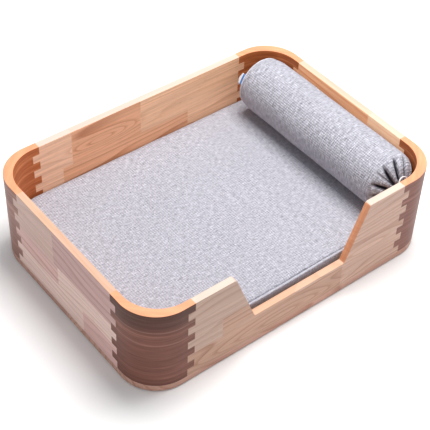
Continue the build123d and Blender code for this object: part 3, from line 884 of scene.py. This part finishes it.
BOLSTER_ANGLES = 360
GATHER_Y = -165  # millimetres: the pleats and their closer rows lie before this
PLEAT_ROOT_Y = -214.0  # and a pleat's root lies here
RIPPLE, SLACK, LOFT = 0.9, 0.7, 2.6  # millimetres: the cover's ripples, its sag and its lift
LOFT_ANGLE = math.radians(68)  # where, round the axis, the stuffing lifts the cover most
TRAY_CLEARANCE = 2.2 * MM
END_PIPING_RADIUS = 54.9 * MM

# From the mouth to the far end: place along the bolster and radius, in millimetres.
BOLSTER_PROFILE = [
    (-217.0, 1.5), (-220.5, 4.0), (-223.6, 7.5), (-225.0, 12.0), (-223.4, 18.0), (-219.5, 28.0),
    (-214.5, 38.0), (-208.0, 46.5), (-200.0, 53.3), (-190.5, 58.0), (-179.0, 59.6), (-160.0, 59.8),
    (172.0, 59.7), (183.0, 58.9), (190.0, 57.6), (195.0, 55.9), (197.8, 54.4), (198.6, 53.0),
    (199.6, 52.0), (202.0, 45.0), (203.0, 30.0), (203.0, 2.0),
]

# Round the axis from +X towards +Z, in degrees: where a pleat lies at its root and at its tip,
# its depth in millimetres, its width in degrees and the place along the bolster where it starts.
PLEATS = [
    (97, 83, 17.0, 3.6, -186.0),
    (124, 114, 18.0, 4.2, -190.0),
    (131, 132, 5.0, 3.0, -189.0),
    (154, 157, 17.0, 4.2, -191.0),
    (181, 184, 11.0, 4.0, -194.0),
    (206, 211, 15.0, 4.2, -189.0),
    (233, 238, 12.0, 4.0, -193.0),
    (262, 262, 15.0, 4.0, -188.0),
    (289, 284, 11.0, 4.0, -193.0),
    (314, 309, 15.0, 4.2, -190.0),
    (341, 338, 11.0, 4.0, -192.0),
    (8, 8, 15.0, 4.2, -189.0),
    (34, 37, 10.0, 3.5, -193.0),
    (66, 60, 11.0, 4.0, -191.0),
]


def pleat_depth(angle, y):
    """How far the pleats draw the gathered end in, in metres."""
    drawn = 0.0
    for root, tip, depth, width, end in PLEATS:
        travel = (y / MM - end) / (PLEAT_ROOT_Y - end)
        if travel <= 0:
            continue
        along = min(travel, 1.0)
        centre = tip + (root - tip) * along
        apart = abs((angle - centre + 180) % 360 - 180)
        strength = math.sin(min(1.0, along * 2.4) * math.pi / 2)
        narrow = width * (0.55 + 0.75 * along)
        drawn += depth * MM * strength * math.exp(-((apart / narrow) ** 1.3))
    return drawn


def inside_tray(place):
    """Keep a point of the bolster off the corner blocks."""
    dx = place.x - TRAY_CORNER.x
    dy = abs(place.y) - TRAY_CORNER.y
    if dx > 0 and dy > 0:
        reach = math.hypot(dx, dy)
        limit = TRAY_CORNER_RADIUS - TRAY_CLEARANCE
        if reach > limit:
            place.x = TRAY_CORNER.x + dx * limit / reach
            place.y = math.copysign(TRAY_CORNER.y + dy * limit / reach, place.y)
    return place


def profile_rows():
    """The bolster's profile with rows close enough together for its pleats."""
    rows = []
    for (y0, r0), (y1, r1) in zip(BOLSTER_PROFILE, BOLSTER_PROFILE[1:]):
        length = math.hypot(y1 - y0, r1 - r0)
        step = 1.6 if y0 < GATHER_Y or y0 > 195 else 4.5
        steps = max(1, round(length / step))
        rows += [(y0 + (y1 - y0) * i / steps, r0 + (r1 - r0) * i / steps) for i in range(steps)]
    rows.append(BOLSTER_PROFILE[-1])
    return rows


def make_bolster(cover):
    """The stuffed bolster: a cover gathered into pleats at its near end, with a sewn far end."""
    rows = profile_rows()
    points = []
    painted_pleat_shade = []
    for y, radius in rows:
        for i in range(BOLSTER_ANGLES):
            degrees = 360 * i / BOLSTER_ANGLES
            angle = math.radians(degrees)
            shown = radius * MM
            fade = min(1.0, radius / 20.0)
            fold = pleat_depth(degrees, y * MM) if y < GATHER_Y else 0.0
            # The fold attribute: how deep a point lies in a pleat, for painted shade in the pleats.
            painted_pleat_shade.append(min(1.0, fold / (9 * MM)) ** 1.5)
            shown -= fold * fade
            ease = min(1.0, max(0.0, (200.0 - y) / 30.0)) * min(1.0, radius / 50.0)
            ripple = noise.noise(Vector((math.cos(angle) * 1.3, y / 70.0, math.sin(angle) * 1.3)))
            loft = max(0.0, math.cos(angle - LOFT_ANGLE)) ** 2
            shown += ease * MM * (RIPPLE * ripple - SLACK + LOFT * loft)
            x = AXIS_X + shown * math.cos(angle)
            z = AXIS_Z + shown * math.sin(angle)
            points.append(inside_tray(Vector((x, y * MM, z))))
    faces = []
    for row in range(len(rows) - 1):
        for i in range(BOLSTER_ANGLES):
            here = row * BOLSTER_ANGLES + i
            side = row * BOLSTER_ANGLES + (i + 1) % BOLSTER_ANGLES
            faces.append([here, side, side + BOLSTER_ANGLES, here + BOLSTER_ANGLES])
    faces.append(list(range(BOLSTER_ANGLES)))
    last = (len(rows) - 1) * BOLSTER_ANGLES
    faces.append(list(range(last, last + BOLSTER_ANGLES))[::-1])
    bolster = mesh_object("bolster", points, faces)
    attribute = bolster.data.attributes.new("fold", "FLOAT", "POINT")
    attribute.data.foreach_set("value", painted_pleat_shade)
    finish_piece(
        bolster,
        "bolster",
        cover,
        ["bolster_pillow", "bolster_cover", "bolster_end_panel"],
    )


def make_end_piping(material):
    """The piping in the seam round the bolster's far end."""
    line = bpy.data.curves.new("bolster_piping", "CURVE")
    line.dimensions = "3D"
    line.bevel_depth = 1.5 * MM
    line.bevel_resolution = 4
    spline = line.splines.new("POLY")
    count = 180
    spline.points.add(count - 1)
    for i, point in enumerate(spline.points):
        angle = 2 * math.pi * i / count
        x = AXIS_X + END_PIPING_RADIUS * math.cos(angle)
        place = Vector((x, SEAM_Y - 1.2 * MM, AXIS_Z + END_PIPING_RADIUS * math.sin(angle)))
        point.co = (*inside_tray(place), 1.0)
    spline.use_cyclic_u = True
    piping = add_object("bolster_piping", line)
    finish_piece(piping, "bolster", material, ["bolster_end_piping"])


LABEL_ANGLE = math.radians(153)  # round the bolster's axis, from +X towards +Z
LABEL_RADIUS = 52.6  # millimetres from that axis
LABEL_REACH = 12.0  # millimetres out of the seam at its middle
LABEL_HOLLOW = 3.4  # and how much less at its sides


def make_label(material):
    """A blank folded ribbon sewn into the seam of the bolster's far end."""
    outward = Vector((math.cos(LABEL_ANGLE), 0, math.sin(LABEL_ANGLE)))
    across = Vector((-math.sin(LABEL_ANGLE), 0, math.cos(LABEL_ANGLE)))
    root = Vector((AXIS_X, SEAM_Y, AXIS_Z)) + outward * LABEL_RADIUS * MM
    width = 24 * MM
    columns = 12
    fold = 9
    points = []
    for column in range(columns + 1):
        share = column / columns * 2 - 1
        reach = (LABEL_REACH - LABEL_HOLLOW * share * share) * MM
        side = across * share * width / 2
        lean = outward * 1.2 * MM * (1 - share * share)
        line = [(0.0, -0.35 * MM), (reach * 0.35, -0.45 * MM), (reach * 0.7, -0.6 * MM)]
        for i in range(fold):
            angle = math.pi * i / (fold - 1) - math.pi / 2
            line.append((reach - 0.8 * MM + 0.8 * MM * math.cos(angle), 0.8 * MM * math.sin(angle)))
        line += [(reach * 0.7, 0.6 * MM), (reach * 0.35, 0.45 * MM), (0.0, 0.35 * MM)]
        for out, lift in line:
            bend = out / reach
            points.append(root + side + Vector((0, out, 0)) + outward * lift + lean * bend * bend)
    rows = len(points) // (columns + 1)
    faces = []
    for column in range(columns):
        for row in range(rows - 1):
            here = column * rows + row
            faces.append([here, here + rows, here + rows + 1, here + 1])
    label = mesh_object("label_ribbon", points, faces)
    solid = label.modifiers.new("thickness", "SOLIDIFY")
    solid.thickness = 0.35 * MM
    solid.offset = 0.0
    bake_modifiers(label)
    finish_piece(label, "bolster", material, ["bolster_label"])


def ribbon_cloth():
    """Fine ribbed white ribbon with a blue band beside the seam."""
    shader = Shader("ribbon")
    x, y, z = shader.axes()
    ribs = shader.math("SINE", shader.math("MULTIPLY", y, 2 * math.pi / 0.0006))
    speckle = shader.noise(*[shader.math("MULTIPLY", axis, 1500.0) for axis in (x, y, z)], 2.0)
    from_seam = shader.math("SUBTRACT", y, SEAM_Y)
    band = shader.math("LESS_THAN", from_seam, 0.0062)
    edge = shader.math("GREATER_THAN", from_seam, 0.0016)
    blue = shader.math("MULTIPLY", band, edge)
    colour = shader.mix(blue, rgb(238, 238, 242), rgb(66, 128, 200))
    colour = shader.tint(colour, shader.around(speckle, 0.1))
    shader.bump(shader.math("MULTIPLY_ADD", ribs, 0.3, speckle), 0.0002)
    return shader.finish(colour, 0.5, Sheen_Weight=0.1, Specular_IOR_Level=0.4)


# -------------------------------------------------------------------- zip

ZIP_HALF = 220 * MM
ZIP_Z = 50 * MM
ZIP_WINDOW_HEIGHT = 22 * MM
TOOTH_PITCH = 1.9 * MM
WIRE_RADIUS = 0.27 * MM
COIL_OFFSET = 0.62 * MM  # each spiral's middle from the zip's
COIL_HALF = 0.95 * MM  # half the height of a turn


def make_zip_coil(material):
    """Two spirals of nylon wire, sewn along the tapes, whose turns mesh in the middle."""
    low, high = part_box("zip_coil")
    length = high.x - low.x
    middle = Vector(((low.x + high.x) / 2, (low.y + high.y) / 2, (low.z + high.z) / 2))
    half_y = (high.y - low.y) / 2 - 0.25 * MM
    turns = round(length / TOOTH_PITCH)
    line = bpy.data.curves.new("zip_teeth", "CURVE")
    line.dimensions = "3D"
    line.bevel_depth = WIRE_RADIUS
    line.bevel_resolution = 1
    steps = 8
    for side in (-1, 1):
        spline = line.splines.new("POLY")
        spline.points.add(turns * steps)
        for i, point in enumerate(spline.points):
            angle = 2 * math.pi * i / steps
            along = low.x + length * (i / steps + (0.5 if side > 0 else 0.0)) / (turns + 1)
            lift = side * (COIL_OFFSET - COIL_HALF * math.cos(angle))
            point.co = (along, middle.y + half_y * math.sin(angle), middle.z + lift, 1.0)
    teeth = add_object("zip_teeth", line)
    finish_piece(teeth, "mattress", material, ["zip_coil"])


# ----------------------------------------------------- other small surfaces


def plain(name, colour, roughness, scale, depth, variation, **values):
    """A material with fine noise in its colour and relief."""
    shader = Shader(name)
    x, y, z = shader.axes()
    places = [shader.math("MULTIPLY", axis, scale) for axis in (x, y, z)]
    speckle = shader.noise(*places, detail=3.0)
    shader.bump(speckle, depth)
    return shader.finish(shader.tint(colour, shader.around(speckle, variation)), roughness, **values)


def paint_small_nodes():
    """Give the remaining CAD nodes their materials."""
    steel = plain("steel", rgb(190, 190, 194), 0.32, 900.0, 0.00005, 0.1, Metallic=1.0)
    rubber = plain("pad_rubber", rgb(38, 38, 40), 0.75, 700.0, 0.0002, 0.2)
    tape = plain("zip_tape", rgb(120, 120, 130), 0.85, 1500.0, 0.0003, 0.25)
    coil = plain("zip_plastic", rgb(105, 105, 115), 0.4, 600.0, 0.0001, 0.12)
    metal = plain("zip_metal", rgb(150, 150, 156), 0.35, 800.0, 0.00005, 0.1, Metallic=1.0)
    paint_node("base_screws", steel)
    for end in ("front", "back"):
        for side in ("left", "right"):
            paint_node(f"foot_pad_{end}_{side}", rubber)
    paint_node("zip_tape_upper", tape)
    paint_node("zip_tape_lower", tape)
    make_zip_coil(coil)
    paint_node("zip_slider", metal)


# -------------------------------------------------------- stage and lights


def make_stage():
    """A plain pale floor that runs out of sight."""
    reach = 6.0
    points = [(-reach, -reach, 0), (reach, -reach, 0), (reach, reach, 0), (-reach, reach, 0)]
    floor = mesh_object("floor", points, [[0, 1, 2, 3]])
    shader = Shader("floor")
    floor.data.materials.append(shader.finish(rgb(250, 250, 250), 0.9, Specular_IOR_Level=0.1))


def make_light(name, place, target, size, energy, colour):
    """A square soft light that looks at a target."""
    lamp = bpy.data.lights.new(name, "AREA")
    lamp.size = size
    lamp.energy = energy
    lamp.color = colour
    light = add_object(name, lamp)
    light.location = place
    light.rotation_euler = (Vector(target) - Vector(place)).to_track_quat("-Z", "Y").to_euler()


WORLD_STRENGTH = 0.445


def make_lights():
    """A broad lamp overhead and a weak one from the front left, with pale light all round."""
    world = bpy.data.worlds.new("studio")
    SCENE.world = world
    world.use_nodes = True
    background = world.node_tree.nodes["Background"]
    background.inputs[0].default_value = (0.96, 0.97, 1.0, 1.0)
    background.inputs[1].default_value = WORLD_STRENGTH
    make_light(
        "key",
        place=(0.38, 0.0, 1.9),
        target=(0.05, 0.0, 0.0),
        size=1.1,
        energy=49.0,
        colour=(1.0, 0.985, 0.965),
    )
    make_light(
        "fill",
        place=(-1.5, -1.5, 1.25),
        target=(0.1, 0.1, 0.1),
        size=1.5,
        energy=4.0,
        colour=(1.0, 0.985, 0.97),
    )
    SCENE.view_settings.view_transform = "Standard"


linen_top = woven("linen_top", LINEN, flat_plane, rib=0.0050, grid=0.15, contrast=1.15)
# The side cloth is lighter than the top's: painted light that lifts the shade on the side seen in the
# doorway.
linen_side = woven("linen_side", rgb(206, 206, 220), side_plane)
linen_bolster = woven(
    "linen_bolster", LINEN, bolster_plane, rib=0.0045, pick=0.0043, grid=0.18, contrast=1.6, painted_pleat_shade=True
)
cloth_bottom = plain("bottom_cloth", rgb(70, 70, 78), 0.9, 900.0, 0.0005, 0.3)
piping_cloth = woven("piping_cloth", rgb(190, 190, 201), side_plane, rib=0.0016, contrast=0.5)
piping_pale = woven("piping_pale", rgb(208, 208, 216), side_plane, rib=0.0016, contrast=0.4)
cord_white = plain("white_cord", rgb(236, 236, 240), 0.7, 1600.0, 0.0004, 0.08)

make_drawcord(cord_white)
paint_wood()
make_mattress(linen_top, linen_side, cloth_bottom)
make_piping("mattress_piping_upper", SEAM_Z, "mattress_piping_top", piping_cloth)
make_piping("mattress_piping_lower", LOW_SEAM_Z, "mattress_piping_bottom", piping_cloth)
make_bolster(linen_bolster)
make_end_piping(piping_pale)
paint_small_nodes()
make_label(ribbon_cloth())
make_stage()
make_lights()
